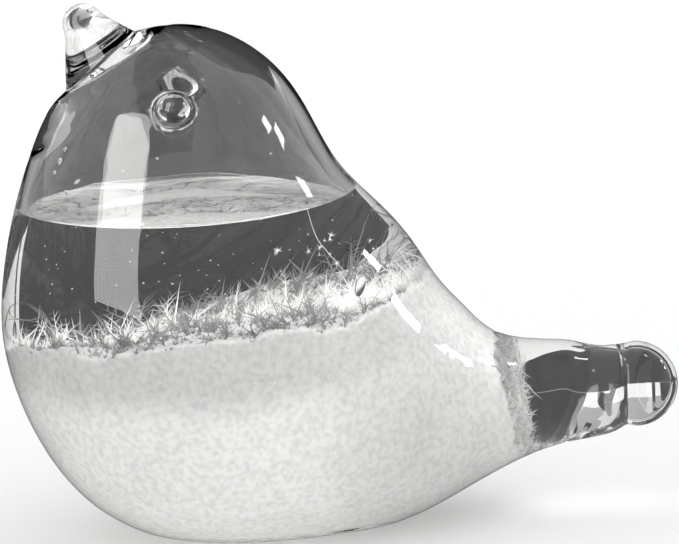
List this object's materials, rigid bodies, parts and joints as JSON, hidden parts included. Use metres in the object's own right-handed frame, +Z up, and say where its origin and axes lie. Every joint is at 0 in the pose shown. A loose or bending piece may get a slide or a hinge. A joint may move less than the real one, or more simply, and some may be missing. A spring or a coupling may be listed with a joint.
{
  "type": "storm glass",
  "caption": "Sealed bird-shaped glass vessel with a flat foot, part filled with clear liquid over a bed of white fern-like crystals; a decorative weather glass.",
  "frame": {"origin": "centre of the flat foot, on the surface that the bird stands on", "axes": "+Z up; +X from the beak to the tail; +Y to the bird's own left side when it is seen with the tail at +X and up at +Z, so -Y is the side with the right eye"},
  "size_m": [0.1246, 0.0782, 0.0981],
  "materials": {
    "clear_glass": "clear fire-polished borosilicate glass with a few seed bubbles",
    "storm_liquid": "clear thin liquid of alcohol and water, with a meniscus at the glass",
    "camphor_crystal": "frosty white, translucent, feathery at the top"
  },
  "bodies": {
    "root": {"glass_body": "clear_glass", "beak": "clear_glass", "tail_end": "clear_glass", "left_eye": "clear_glass", "right_eye": "clear_glass", "storm_liquid": "storm_liquid", "crystal_bed": "camphor_crystal", "breast_ferns": "camphor_crystal", "middle_ferns": "camphor_crystal", "back_ferns": "camphor_crystal", "tail_ferns": "camphor_crystal", "drifting_flakes": "camphor_crystal"}
  },
  "joints": []
}
